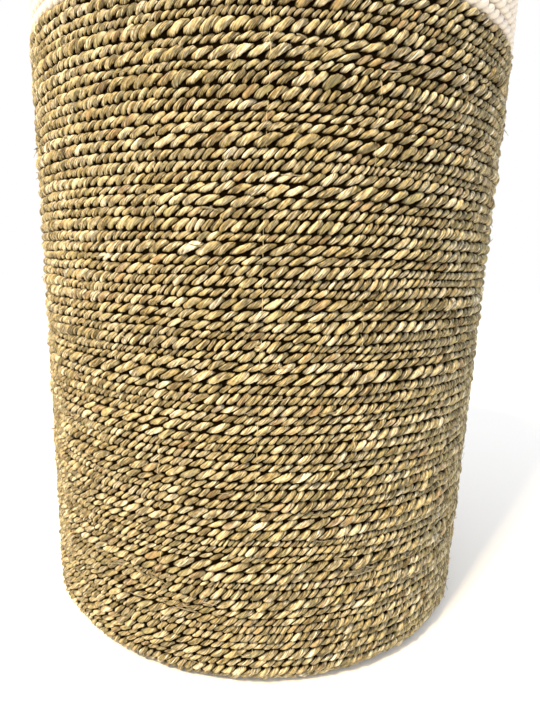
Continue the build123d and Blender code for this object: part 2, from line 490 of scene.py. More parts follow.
@dataclass
class TwistedSkin:
    """The outer skin of a twisted cord: one lobe for each ply and a groove between lobes.

    Attributes:
        lay: number of plies.
        offset: distance of a ply's centre from the cord's centre, as a share of the diameter.
        deep: half size of a ply towards the cord's centre, as a share of the diameter.
        wide: half size of a ply across that, as a share of the diameter.
        lobe_points: points round each lobe.
        size_spread: how much lobes differ in size.
        tone_spread: how much lobes differ in tone.
        seed: random seed of this cord.
        alone: whether the cord has no neighbours that shade its sides.
        lumps: height of the small lumps on a ply, as a share of its size.
        lean: how far the lobes are drawn over along the cord, as a share of their height.
        shade: where the skin gets little light.
        size_change, tone_change: share of a lobe over which it turns into the next one.
        usual_mm: diameter that the strand coordinates are made for.
        ply_apart_mm: distance between plies in those coordinates.
        values: size, shift, paleness and hue drawn for the lobes of each ply.
    """

    lay: Lay
    offset: float
    deep: float
    wide: float
    lobe_points: int
    size_spread: float
    tone_spread: float
    seed: int = SEED
    alone: bool = False
    lumps: float = 0.0
    lean: float = 0.0
    shade: GrooveShade = GrooveShade()
    size_change: ClassVar[float] = 0.5
    tone_change: ClassVar[float] = 0.12
    usual_mm: ClassVar[float] = 7.0
    ply_apart_mm: ClassVar[float] = 40.0
    values: list[dict[str, np.ndarray]] = field(default_factory=list)

    @classmethod
    def rope(
        cls, seed: int, points: int = 6, size: float = 0.03, tone: float = 0.08, alone: bool = True
    ) -> "TwistedSkin":
        """Skin of a soft three-strand rope.

        Args:
            seed: random seed of this rope.
            points: points round each strand.
            size: how much the strands' lobes differ in size.
            tone: how much they differ in tone.
            alone: whether it has no neighbours that shade its sides.

        Returns:
            The skin.
        """
        return cls(Lay.THREE_STRAND, 0.215, 0.285, 0.31, points, size, tone, seed, alone)

    def __post_init__(self) -> None:
        """Draw the random values that the lobes take."""
        rng = np.random.default_rng(self.seed)
        count = 4099
        for _ in range(self.lay.value):
            self.values.append(
                {
                    "size": rng.normal(0, self.size_spread, count).clip(-0.25, 0.3),
                    "shift": rng.normal(0, self.size_spread * 0.6, count),
                    "pale": rng.normal(0.5, self.tone_spread, count),
                    "hue": rng.uniform(0, 1, count),
                }
            )

    def bulge(self, run_mm: np.ndarray, angle: float) -> np.ndarray:
        """Small lumps on the skin, from -1 to 1, that change every few millimetres."""
        first = np.sin(run_mm * 1.31 + 2.3 * angle + self.seed)
        second = np.sin(run_mm * 0.83 - 3.1 * angle + 1.7)
        third = np.sin(run_mm * 2.03 + 1.3 * angle + 0.4 * self.seed)
        return (first + second + 0.7 * third) / 2.7

    def streak(self, run_mm: np.ndarray) -> np.ndarray:
        """Paler and darker stretches of the cord, a few hundred millimetres long."""
        long = np.sin(run_mm / 93.0 + self.seed) * np.sin(run_mm / 31.0 + 1.3)
        short = np.sin(run_mm / 13.0 + 2.0 * np.sin(run_mm / 57.0))
        return self.tone_spread * (0.75 * long + 0.35 * short)

    def meeting_angle(self) -> float:
        """Angle on a ply, from the cord's radius, where it meets the next ply."""
        angles = np.linspace(0.0, math.pi, 2001)
        out = self.offset + self.deep * np.cos(angles)
        direction = np.arctan2(self.wide * np.sin(angles), out)
        return float(angles[np.argmax(direction >= math.pi / self.lay.value)])

    def rings(self, path: CordPath) -> Rings:
        """Work out every ring of the skin.

        Args:
            path: the cord's centre line.

        Returns:
            Vertices, strand coordinates in millimetres and lobe looks, each rings by points by 3.
        """
        plies, size, run_mm = self.lay.value, path.diameter, path.run / MM
        shape = (len(size), plies * self.lobe_points, 3)
        vertices, strand, look = np.zeros(shape), np.zeros(shape), np.zeros(shape)
        open_angle = self.meeting_angle()
        reach = size * (self.offset + self.deep)
        along = np.cross(path.upward, path.outward)
        strand[..., 0] = run_mm[:, None]
        for ply, drawn in enumerate(self.values):
            turn = path.phase + ply * TURN / plies
            place = turn / math.pi + 0.5
            swell = 1 + held_values(place, drawn["size"], self.size_change)
            shift = held_values(place, drawn["shift"], self.size_change)
            centre = self.offset * size * (1 + shift)
            deep = self.deep * size * swell
            wide = self.wide * size * (0.5 + 0.5 * swell)
            mine = slice(ply * self.lobe_points, (ply + 1) * self.lobe_points)
            pale = held_values(place, drawn["pale"], self.tone_change) + self.streak(run_mm)
            look[:, mine, 0] = pale[:, None]
            look[:, mine, 1] = held_values(place, drawn["hue"], self.tone_change)[:, None]
            # far enough apart that no two plies share a pattern
            strand[:, mine, 2] = self.seed * 3.7 + ply * 11.3
            for index in range(self.lobe_points):
                column = mine.start + index
                angle = open_angle * (2 * index / self.lobe_points - 1)
                lump = 1 + self.lumps * self.bulge(run_mm, angle + 5.1 * ply)
                out = centre + deep * lump * math.cos(angle)
                side = wide * lump * math.sin(angle)
                across = np.cos(turn) * out - np.sin(turn) * side
                up = np.sin(turn) * out + np.cos(turn) * side
                drawn_over = self.lean * up * across / (0.5 * size)
                vertices[:, column] = (
                    path.point
                    + path.outward * across[:, None]
                    + path.upward * up[:, None]
                    + along * drawn_over[:, None]
                )
                strand[:, column, 1] = angle * self.wide * self.usual_mm + self.ply_apart_mm * ply
                edge = abs(angle) / open_angle
                # painted shade: the third look darkens the grooves, more on the lower side, and
                # beside neighbours the gaps between courses
                look[:, column, 2] = self.shade.groove(angle, edge)
                if not self.alone:
                    look[:, column, 2] *= self.shade.gap(edge, np.abs(across) / reach, up / size)
        return vertices, strand, look


def make_piece(
    name: str,
    vertices: np.ndarray,
    polygons: Sequence[np.ndarray],
    places: np.ndarray,
    looks: dict[str, np.ndarray],
    material: bpy.types.Material,
) -> bpy.types.Object:
    """Make a smooth mesh object from arrays.

    Args:
        name: the piece's name.
        vertices: its points.
        polygons: arrays of polygons, each array with one number of corners.
        places: where each polygon's corners lie on the map, in order.
        looks: vectors that the finish reads, one for each vertex.
        material: its finish.

    Returns:
        The new object, linked into the scene.
    """
    loops = np.concatenate([group.ravel() for group in polygons])
    totals = np.concatenate([np.full(len(group), group.shape[1]) for group in polygons])
    starts = np.concatenate(([0], np.cumsum(totals)[:-1]))
    mesh = bpy.data.meshes.new(name)
    mesh.vertices.add(len(vertices))
    mesh.vertices.foreach_set("co", vertices.astype(np.float32).ravel())
    mesh.loops.add(len(loops))
    mesh.loops.foreach_set("vertex_index", loops.astype(np.int32))
    mesh.polygons.add(len(totals))
    mesh.polygons.foreach_set("loop_start", starts.astype(np.int32))
    mesh.polygons.foreach_set("loop_total", totals.astype(np.int32))
    mesh.update(calc_edges=True)
    mesh.polygons.foreach_set("use_smooth", np.ones(len(totals), dtype=bool))
    for label, values in looks.items():
        attribute = mesh.attributes.new(label, "FLOAT_VECTOR", "POINT")
        attribute.data.foreach_set("vector", values.astype(np.float32).ravel())
    layer = mesh.uv_layers.new(name="OFBake")
    layer.uv.foreach_set("vector", places.astype(np.float32).ravel())
    mesh.materials.append(material)
    piece = bpy.data.objects.new(name, mesh)
    bpy.context.scene.collection.objects.link(piece)
    return piece


def map_boxes(
    left: np.ndarray, right: np.ndarray, low: np.ndarray, high: np.ndarray
) -> np.ndarray:
    """Corners of boxes on the map, each from its low left corner by the high left one."""
    corners = [(left, low), (left, high), (right, high), (right, low)]
    return np.stack([np.stack(pair, -1) for pair in corners], 2).reshape(-1, 4, 2)


def skin_mesh(name: str, rings: Rings, material: bpy.types.Material) -> bpy.types.Object:
    """Make a closed mesh from rings of points, with its map laid out in rows.

    Args:
        name: the piece's name.
        rings: vertices, strand coordinates and looks.
        material: finish of the piece.

    Returns:
        The new object, linked into the scene.
    """
    count, points = rings[0].shape[:2]
    with_ends = [
        np.concatenate((data.reshape(-1, 3), [data[0].mean(0), data[-1].mean(0)])) for data in rings
    ]
    ring = np.arange(count - 1)[:, None] * points
    column = np.arange(points)[None, :]
    after = (column + 1) % points
    quads = np.stack((ring + column, ring + after, ring + points + after, ring + points + column), -1)
    last = (count - 1) * points
    start_fan = np.stack((np.full(points, count * points), after[0], column[0]), -1)
    end_fan = np.stack((np.full(points, count * points + 1), last + column[0], last + after[0]), -1)
    places = np.concatenate((map_rows(count, points, rings[1]), np.zeros((6 * points, 2))))
    polygons = (quads.reshape(-1, 4), start_fan, end_fan)
    looks = {"strand": with_ends[1], "lobe": with_ends[2]}
    return make_piece(name, with_ends[0], polygons, places, looks, material)


def map_rows(
    count: int, points: int, strand: np.ndarray, girth_mm: float = 24.0, gap: float = 0.06
) -> np.ndarray:
    """Cut the skin of a long cord into strips of equal length and lay them in rows on the map.

    Args:
        count: number of rings.
        points: points in a ring.
        strand: strand coordinates, whose first number is the distance along the cord.
        girth_mm: distance round the cord.
        gap: share of a row that is left free.

    Returns:
        Where the corners of the quads lie, ring by ring.
    """
    length = abs(strand[-1, 0, 0] - strand[0, 0, 0])
    rows = max(1, round(math.sqrt(length / girth_mm)))
    per_row = -(-(count - 1) // rows)
    ring = np.arange(count - 1)
    row = ring // per_row
    left = (ring - row * per_row) / per_row
    column = np.arange(points)
    low = (row[:, None] + gap / 2 + (1 - gap) * column[None, :] / points) / rows
    high = low + (1 - gap) / points / rows
    left = np.broadcast_to(left[:, None], low.shape)
    return map_boxes(left, left + 1 / per_row, low, high).reshape(-1, 2)


def grid_mesh(
    name: str, points: np.ndarray, material: bpy.types.Material, tone: float = 0.5
) -> bpy.types.Object:
    """Make a mesh from a grid of points that closes on itself both ways.

    Args:
        name: the piece's name.
        points: rows by columns by 3; the last row repeats the first.
        material: finish of the piece.
        tone: how pale it is.

    Returns:
        The new object, linked into the scene.
    """
    rows, columns = points.shape[0] - 1, points.shape[1]
    row, column = np.arange(rows)[:, None], np.arange(columns)[None, :]
    after, above = (column + 1) % columns, (row + 1) % rows
    corners = (row + 0 * after, column), (row + 0 * after, after), (above, after), (above, column)
    quads = np.stack([level * columns + place for level, place in corners], -1).reshape(-1, 4)
    vertices = points[:-1].reshape(-1, 3)
    low = np.broadcast_to(row / rows, (rows, columns))
    left = np.broadcast_to(column / columns, (rows, columns))
    boxes = map_boxes(left, left + 1 / columns, low, low + 1 / rows)
    # the finish paints the sheet evenly toned, in the painted shade of a deep groove
    looks = {"lobe": np.tile((tone, 0.5, 0.2), (len(vertices), 1)), "strand": vertices / MM}
    return make_piece(name, vertices, [quads[:, ::-1]], np.roll(boxes, -1, 1), looks, material)


def tube_path(
    line: np.ndarray,
    diameter: float,
    spacing: float,
    lobe_spacing: float = 1.0,
    outside: Optional[Callable[[np.ndarray], np.ndarray]] = None,
    closed: bool = False,
) -> CordPath:
    """Turn a list of points into the path of a thin cord.

    Args:
        line: points of the centre line, in order.
        diameter: the cord's diameter.
        spacing: distance between rings.
        lobe_spacing: distance along the cord from one lobe to the next of a two-ply cord.
        outside: gives the outward direction at each point, or None for any steady direction.
        closed: whether the line returns to its start.

    Returns:
        The path, ready for a skin.
    """
    if closed:
        line = np.concatenate((line, line[:1]))
    run = length_along(line)
    rings = max(3, int(round(run[-1] / spacing)) + 1)
    places = np.linspace(0, run[-1], rings)
    point = interpolate(places, run, line)
    along = np.gradient(point, axis=0)
    if closed:
        along[0] = along[-1] = point[1] - point[-2]
    along = unit(along)
    outward = square_to(steady_normals(along) if outside is None else outside(point), along)
    phase = places / lobe_spacing * math.pi
    upward = np.cross(outward, along)
    return CordPath(point, outward, upward, np.full(rings, diameter), phase, places)


def steady_normals(along: np.ndarray) -> np.ndarray:
    """Normals that turn as little as they can from ring to ring.

    Args:
        along: unit directions of the line.

    Returns:
        One unit normal for each.
    """
    normals = np.zeros_like(along)
    normal = UP if abs(along[0, 2]) < 0.8 else np.array((1.0, 0.0, 0.0))
    for index, direction in enumerate(along):
        normal = normal - direction * (normal @ direction)
        normal /= np.linalg.norm(normal)
        normals[index] = normal
    return normals


def round_rings(path: CordPath, points: int, tone: float, lay_mm: float = 0.0) -> Rings:
    """Rings of a plain round cord.

    Args:
        path: the cord's centre line.
        points: points round it.
        tone: how pale it is.
        lay_mm: length in which its yarns go once round, or 0 for straight yarns.

    Returns:
        Vertices, strand coordinates and looks.
    """
    angle = np.arange(points) / points * TURN
    radius = path.diameter[:, None, None] / 2
    vertices = (
        path.point[:, None, :]
        + path.outward[:, None, :] * np.cos(angle)[None, :, None] * radius
        + path.upward[:, None, :] * np.sin(angle)[None, :, None] * radius
    )
    along = np.broadcast_to(path.run[:, None] / MM, vertices.shape[:2])
    girth = angle[None, :] * path.diameter[:, None] / 2 / MM
    turned = girth - (along / lay_mm * TURN * path.diameter[:, None] / 2 / MM if lay_mm else 0)
    strand = np.stack((along, turned, np.full(along.shape, tone * 10)), -1)
    look = np.broadcast_to((tone, 0.5, 1.0), vertices.shape)
    return vertices, strand, look


def join_pieces(name: str, objects: Sequence[bpy.types.Object]) -> bpy.types.Object:
    """Join several objects into one piece and give it its final name.

    Args:
        name: the piece's name.
        objects: what to join; the first one stays.

    Returns:
        The joined object.
    """
    bpy.ops.object.select_all(action="DESELECT")
    for item in objects:
        item.select_set(True)
    bpy.context.view_layer.objects.active = objects[0]
    bpy.ops.object.join()
    objects[0].name = objects[0].data.name = name
    return objects[0]


def settle(piece: bpy.types.Object, slot: str, *nodes: str) -> None:
    """Fix a piece to the basket and say what it stands for.

    Args:
        piece: the finished object.
        slot: material slot of the record; not used.
        *nodes: CAD nodes that it replaces.
    """
    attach(piece, BODY)
    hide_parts(*nodes)
    LOG.info("%s: %d faces, stands for %s", piece.name, len(piece.data.polygons), nodes)


# --- The basket's own line: courses from the middle of the base to the rim ----------------------


@dataclass
class Profile:
    """Section of the basket through its courses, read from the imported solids.

    Distances run from the basket's axis along the base, round the heel and up the wall.
    """

    cord: float = 7.4 * MM
    rope: float = 10.4 * MM
    rim: float = 12.0 * MM
    usual_radius: float = 200.0 * MM

    def __post_init__(self) -> None:
        """Read the main places from the CAD nodes."""
        base, heel, wall, band, rim = (
            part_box(node)[1]
            for node in ("base_coil_02", "heel_coil", "wall_coil_11", "band_coil_02", "rim_rope")
        )
        self.base_middle = base[2] - self.cord / 2
        self.flat_radius = base[0]
        self.heel_radius = heel[2] - self.base_middle
        self.wall_foot = self.flat_radius + self.heel_radius
        self.natural_top = wall[2]
        self.wall_head = wall[0] - self.cord / 2
        self.band_middle = band[0] - self.rope / 2
        self.band_top = band[2]
        self.rim_middle = rim[2] - self.rim / 2
        self.heel_length = self.heel_radius * math.pi / 2
        self.wall_start = self.flat_radius + self.heel_length
        wall_height = self.natural_top - (self.base_middle + self.heel_radius)
        self.natural_end = self.wall_start + wall_height

    def at(self, distance: np.ndarray) -> Rings:
        """Where a distance along the section lies.

        Args:
            distance: distances from the axis along the section.

        Returns:
            Radius, height and direction of the section, in radians from level.
        """
        turn = np.clip((distance - self.flat_radius) / self.heel_radius, 0, math.pi / 2)
        climb = np.maximum(distance - self.wall_start, 0)
        share = climb / (self.natural_end - self.wall_start)
        lean = np.minimum(share, 1) * (self.wall_head - self.wall_foot)
        band = smooth_step((distance - self.natural_end) / self.rope + 0.5)
        shift = band * (self.band_middle - self.wall_head)
        radius = np.minimum(distance, self.flat_radius) + self.heel_radius * np.sin(turn)
        height = self.base_middle + self.heel_radius * (1 - np.cos(turn)) + climb
        return radius + lean + shift, height, turn


@dataclass(frozen=True)
class Unevenness:
    """How courses differ in thickness, as shares of their usual height.

    Attributes:
        waves, quick_wave: number of slow waves round a course, and the one that is half as strong.
        wave, steady: spread of a wave's strength, and of whole courses.
        lumps, lump_mm, lump_rise: how many thick places a course has, their width and height.
        rope: what is left of the waves in the white rope.
        limits: least and greatest amount.
        board: what is left in the base and the heel, which are laid on a board.
    """

    waves: int = 16
    quick_wave: float = 9.0
    wave: float = 0.075
    steady: float = 0.13
    lumps: float = 2.2
    lump_mm: tuple[float, float] = (9, 20)
    lump_rise: tuple[float, float] = (0.12, 0.38)
    rope: float = 0.06
    limits: tuple[float, float] = (-0.34, 0.42)
    board: float = 0.45


@dataclass
class Stack:
    """All the courses, natural and white, with the thickness of each one all round.

    Attributes:
        profile: the basket's section.
        base, heel, wall, band: number of courses in each part.
        step_angle: direction, in radians, where a course is counted from. The natural cord climbs
            evenly all round; towards the rim the climb shrinks to a short step here.
        step_width: angle that the step takes.
        columns: samples round each course.
        uneven: how courses differ in thickness.
    """

    profile: Profile
    base: int = 26
    heel: int = 3
    wall: int = 66
    band: int = 13
    step_angle: float = math.radians(104)
    step_width: float = math.radians(13)
    columns: int = 1440
    uneven: Unevenness = Unevenness()

    def __post_init__(self) -> None:
        """Lay the courses."""
        profile = self.profile
        base_pitch = profile.flat_radius / (self.base + 0.5)
        pitches = np.concatenate(
            (
                np.full(self.base, base_pitch),
                np.full(self.heel, profile.heel_length / self.heel),
                np.full(self.wall, (profile.natural_end - profile.wall_start) / self.wall),
                np.full(self.band, (profile.band_top - profile.natural_top) / self.band),
            )
        )
        self.wall_foot = self.base + self.heel
        self.natural = self.wall_foot + self.wall
        self.total = len(pitches)
        nominal = base_pitch / 2 + np.concatenate(([0], np.cumsum(pitches)))
        uneven = self.unevenness(pitches) * pitches[:, None]
        drift = np.concatenate((np.zeros((1, self.columns)), np.cumsum(uneven, axis=0)))
        edges = nominal[:, None] + self.level(drift)
        rim_place = profile.natural_end + (profile.rim_middle - profile.natural_top)
        middle, rim = (edges[1:] + edges[:-1]) / 2, np.full((1, self.columns), rim_place)
        self.middle = np.concatenate((middle, rim))
        self.height = np.concatenate((np.diff(edges, axis=0), np.full_like(rim, profile.rim)))

    def unevenness(self, pitches: np.ndarray) -> np.ndarray:
        """How much thicker or thinner than usual each course is, all round.

        Args:
            pitches: nominal height of each course.

        Returns:
            Share of the nominal height, courses by columns.
        """
        rng, uneven = np.random.default_rng(SEED + 1), self.uneven
        radius_mm = self.profile.usual_radius / MM
        angle = np.arange(self.columns) / self.columns * TURN
        waves = np.arange(1, uneven.waves + 1)
        amounts = np.zeros((len(pitches), self.columns))
        for course in range(len(pitches)):
            fade = 1 + (waves / uneven.quick_wave) ** 2
            strength = rng.normal(0, uneven.wave, len(waves)) / fade
            offsets = rng.uniform(0, TURN, len(waves))
            steady = rng.normal(0, uneven.steady)
            lumps = np.zeros(self.columns)
            for _ in range(rng.poisson(uneven.lumps)):
                gap = (angle - rng.uniform(0, TURN) + math.pi) % TURN - math.pi
                width = rng.uniform(*uneven.lump_mm) / radius_mm
                lumps += rng.uniform(*uneven.lump_rise) * np.exp(-((gap / width) ** 2))
            wave = (strength[:, None] * np.cos(waves[:, None] * angle + offsets[:, None])).sum(0)
            whole = steady + wave + lumps
            amounts[course] = whole if course < self.natural else uneven.rope * wave
        amounts = np.clip(amounts, *uneven.limits)
        amounts[: self.wall_foot] *= uneven.board
        return amounts

    def level(self, drift: np.ndarray, reach: float = 2.0) -> np.ndarray:
        """Keep courses level: take out what the drift of neighbouring courses has in common.

        Args:
            drift: how far each edge between courses is from its nominal place.
            reach: how many courses share a level.

        Returns:
            The drift that is left.
        """
        index = np.arange(len(drift))
        weights = np.exp(-0.5 * ((index[:, None] - index[None, :]) / reach) ** 2)
        weights /= weights.sum(1, keepdims=True)
        edge = np.minimum(index, abs(self.natural - index)) / reach
        fade = np.where(index <= self.natural, np.clip(edge, 0, 1), 0)
        return (drift - weights @ drift) * fade[:, None]

    def line(self, first: float, last: float) -> dict[str, np.ndarray]:
        """Sample the cord's centre line.

        Args:
            first: course where it starts; the fraction is the share of a turn.
            last: course where it ends.

        Returns:
            Angle, place along the section, course height and course number at each sample.
        """
        steps = np.arange(round(first * self.columns), round(last * self.columns) + 1)
        course, column = steps // self.columns, steps % self.columns
        course[-1], column[-1] = course[-2], self.columns - 1
        share = column / self.columns
        turn = share * TURN
        step = smooth_step((turn - (TURN - self.step_width)) / self.step_width)
        even = np.clip((self.total - course - share) / self.band, 0, 1)
        climb = even * (share - 0.5) + (1 - even) * step
        beside = np.clip(course + np.where(climb < 0, -1, 1), 0, self.total)
        here = 1 - np.abs(climb)

        def read(table: np.ndarray) -> np.ndarray:
            """Values on the way from each course to the one beside it."""
            return table[course, column] * here + table[beside, column] * (1 - here)

        return {
            "angle": self.step_angle + turn + course * TURN,
            "place": read(self.middle),
            "height": read(self.height),
            "course": course + share,
        }


def unround(angle: np.ndarray, height: np.ndarray) -> np.ndarray:
    """How far the basket is out of round, and how courses lie in and out a little."""
    slow = 1.1 * np.cos(2 * angle + 0.6 + height * 3) + 0.6 * np.cos(3 * angle + 2.0)
    quick = 0.3 * np.sin(angle * 11.3 + 1.7) + 0.25 * np.sin(angle * 23.7)
    return (slow + quick) * MM


@dataclass
class CoiledCord:
    """A stretch of the basket's line, with plies that turn as the cord runs.

    Attributes:
        stack: all the courses.
        first, last: courses where it starts and ends.
        fill: cord diameter as a share of the course's height.
        lobe: distance between lobes, as a share of the diameter.
        rings_per_turn: rings in one full turn of the plies.
        lay: plies, each of which passes once in a full turn.
        uneven: how much the length of a twist changes along the cord.
        linger: how much faster the plies turn while one of them lies outside.
    """

    stack: Stack
    first: float
    last: float
    fill: float
    lobe: float
    rings_per_turn: int
    lay: Lay
    uneven: float = 0.0
    linger: float = 0.0

    def path(self) -> tuple[CordPath, np.ndarray]:
        """Work out the rings.

        Returns:
            The path, and the course number at each ring.
        """
        line = self.stack.line(self.first, self.last)
        radius, height, turn = self.stack.profile.at(line["place"])
        diameter = line["height"] * self.fill
        angle = line["angle"]
        radius = radius + unround(angle, height) * np.sin(turn)
        point = np.stack((radius * np.cos(angle), radius * np.sin(angle), height), -1)
        run = length_along(point)
        full_turn = self.lay.value * self.lobe * diameter * self.tightness(run / MM)
        phase = np.concatenate(([0], np.cumsum(TURN * np.diff(run) / full_turn[1:])))
        rings = int(phase[-1] / TURN * self.rings_per_turn) + 1
        at = np.arange(rings) * TURN / self.rings_per_turn
        place_angle, lean, size, distance, course = (
            np.interp(at, phase, values) for values in (angle, turn, diameter, run, line["course"])
        )
        around = np.stack((np.cos(place_angle), np.sin(place_angle)), -1)
        outward = np.concatenate((around * np.sin(lean)[:, None], -np.cos(lean)[:, None]), 1)
        upward = np.concatenate((around * np.cos(lean)[:, None], np.sin(lean)[:, None]), 1)
        twist = at + 0.5 * self.linger * np.sin(2 * at)
        centre = interpolate(at, phase, point)
        return CordPath(centre, outward, upward, size, twist, distance), course

    def tightness(self, run_mm: np.ndarray) -> np.ndarray:
        """How much longer or shorter than usual a twist is along the cord."""
        slow = 3.2 * np.sin(run_mm / 241.0) + np.sin(run_mm / 61.0) + np.sin(run_mm / 23.7 + 1.0)
        quick = np.sin(run_mm / 9.1 + 2.0) + np.sin(run_mm / 5.3 + 0.5 * np.sin(run_mm / 37.0))
        jump = np.sin(run_mm / 2.9 + 2.0 * np.sin(run_mm / 17.3))
        return 1 + self.uneven * (0.7 * slow + quick + 1.2 * jump)


def core_sheet(
    stack: Stack, first: int, last: int, thickness: float, columns: int = 300
) -> np.ndarray:
    """Lay a thin closed sheet through the middles of the courses.

    Args:
        stack: all the courses.
        first: course where the sheet starts.
        last: course after the one where it ends.
        thickness: how thick the sheet is.
        columns: samples all round.

    Returns:
        Points in rows that go up one face and down the other, with the first row repeated.
    """
    column = np.arange(columns) * stack.columns // columns
    place = stack.middle[np.arange(first, last)][:, column]
    if first == 0:
        # the sheet of the base reaches in to a small hole at the axis
        place = np.concatenate((np.full((1, columns), 2.0 * MM), place))
    radius, height, turn = stack.profile.at(place)
    angle = np.broadcast_to(stack.step_angle + column / stack.columns * TURN, radius.shape)
    radius = radius + unround(angle, height) * np.sin(turn)
    sides = []
    for side in (thickness / 2, -thickness / 2):
        reach = radius + side * np.sin(turn)
        level = height - side * np.cos(turn)
        sides.append(np.stack((reach * np.cos(angle), reach * np.sin(angle), level), -1))
    sheet = np.concatenate((sides[0], sides[1][::-1]))
    return np.concatenate((sheet, sheet[:1]))


# --- Sub-assemblies ---------------------------------------------------------------------------


@dataclass
class LaidCord:
    """A cord laid round the basket, from which the pieces that stand for CAD coils are cut."""

    stack: Stack
    material: bpy.types.Material
    slot: ClassVar[str]

    def lay(self, coil: CoiledCord, skin: TwistedSkin) -> None:
        """Work out the cord's path and its skin.

        Args:
            coil: the courses that it fills.
            skin: its section.
        """
        self.path, self.course = coil.path()
        self.rings = skin.rings(self.path)

    def cut(self, name: str, low: int, high: int, node: str) -> None:
        """Make one piece from the rings between two courses.

        Args:
            name: the piece's name.
            low: course where it starts.
            high: course where it ends.
            node: CAD node that it stands for.
        """
        first = int(np.searchsorted(self.course, low))
        last = min(int(np.searchsorted(self.course, high)), len(self.course) - 1)
        part = tuple(values[first : last + 1] for values in self.rings)
        settle(skin_mesh(name, part, self.material), self.slot, node)


@dataclass
class NaturalCord(LaidCord):
    """The seagrass cord of the base, the heel and the wall."""

    core_material: bpy.types.Material
    lengths: int = 11
    slot = "natural_cord"

    def build(self) -> None:
        """Build the skin once and cut it into the pieces that stand for the CAD coils."""
        coil = CoiledCord(
            self.stack, 0, self.stack.natural, fill=1.05, lobe=1.1, rings_per_turn=14,
            lay=Lay.TWO_PLY, uneven=0.095, linger=-0.05,
        )
        skin = TwistedSkin(
            Lay.TWO_PLY, offset=0.235, deep=0.28, wide=0.338, lobe_points=9, size_spread=0.2,
            tone_spread=0.11, lumps=0.14, lean=0.25,
        )
        self.lay(coil, skin)
        # the underside is worn level where the basket stands on it
        level = self.rings[0][..., 2]
        np.maximum(level, 0.0, out=level)
        base, start, wall = self.stack.base, self.stack.wall_foot, self.stack.wall
        self.cut("base_cord_inner", 0, base // 2, "base_coil_01")
        self.cut("base_cord_outer", base // 2, base, "base_coil_02")
        self.cut("heel_cord", base, start, "heel_coil")
        nodes = ["base_coil_01", "base_coil_02", "heel_coil"]
        for length in range(self.lengths):
            low = start + wall * length // self.lengths
            high = start + wall * (length + 1) // self.lengths
            middle = (low + high) // 2
            number = f"{length + 1:02d}"
            nodes.append(f"wall_coil_{number}")
            self.cut(f"wall_cord_{number}_lower", low, middle, nodes[-1])
            self.cut(f"wall_cord_{number}_upper", middle, high, nodes[-1])
        self.build_eye()
        # a sheet through the middle of the wall closes the gaps where the courses press together; its
        # near-black colour is painted shade
        sheet = core_sheet(self.stack, 0, self.stack.natural, 1.3 * MM)
        settle(grid_mesh("wall_core", sheet, self.core_material), self.slot, *nodes)

    def build_eye(self, samples: int = 90, turns: float = 1.25) -> None:
        """Curl the thin start of the cord up in the middle of the base.

        Args:
            samples: points along the curl.
            turns: how often it goes round.
        """
        angle = np.linspace(0, turns * TURN, samples) + self.stack.step_angle - turns * TURN
        radius = np.linspace(0.5, 3.3, samples) * MM
        level = np.full(samples, self.stack.profile.base_middle)
        line = np.stack((radius * np.cos(angle), radius * np.sin(angle), level), -1)
        skin = TwistedSkin(Lay.TWO_PLY, 0.23, 0.3, 0.36, 8, 0.08, 0.15, seed=5, alone=True)
        rings = skin.rings(tube_path(line, 4.6 * MM, 0.8 * MM, 4.6 * MM))
        settle(skin_mesh("base_cord_start", rings, self.material), self.slot, "base_coil_01")


@dataclass
class WhiteBand(LaidCord):
    """The white cotton rope above the natural cord, and the rim rope that ends it."""

    lobe: float = 0.95
    rings_per_turn: int = 15
    slot = "cotton_rope"

    def coil(self, first: int, last: int, fill: float) -> CoiledCord:
        """Rope for a run of courses."""
        rope = Lay.THREE_STRAND
        return CoiledCord(self.stack, first, last, fill, self.lobe, self.rings_per_turn, rope)

    def build(self) -> None:
        """Build the band in two lengths, and the rim."""
        natural, total = self.stack.natural, self.stack.total
        self.lay(self.coil(natural, total, 1.05), TwistedSkin.rope(21, alone=False))
        middle = natural + self.stack.band // 2
        nodes = "band_coil_01", "band_coil_02"
        self.cut("band_rope_lower", natural, middle, nodes[0])
        self.cut("band_rope_upper", middle, total, nodes[1])
        # a sheet through the middle of the band closes the gaps between courses; the finish greys it
        # with painted shade
        sheet = core_sheet(self.stack, natural, total + 1, 2.0 * MM)
        settle(grid_mesh("band_core", sheet, self.material), self.slot, *nodes)
        self.build_rim()

    def build_rim(self) -> None:
        """Build the last course, whose end narrows and tucks in behind the rim."""
        total, width = self.stack.total, 1.6 * self.stack.step_width
        path, course = self.coil(total, total + 1, 1.0).path()
        tuck = smooth_step(((course - total) * TURN - (TURN - width)) / width)
        path.diameter = path.diameter * (1 - 0.45 * tuck)
        path.point = path.point - path.outward * (11.0 * MM * tuck)[:, None]
        rings = TwistedSkin.rope(22).rings(path)
        settle(skin_mesh("rim_rope_lay", rings, self.material), self.slot, "rim_rope")


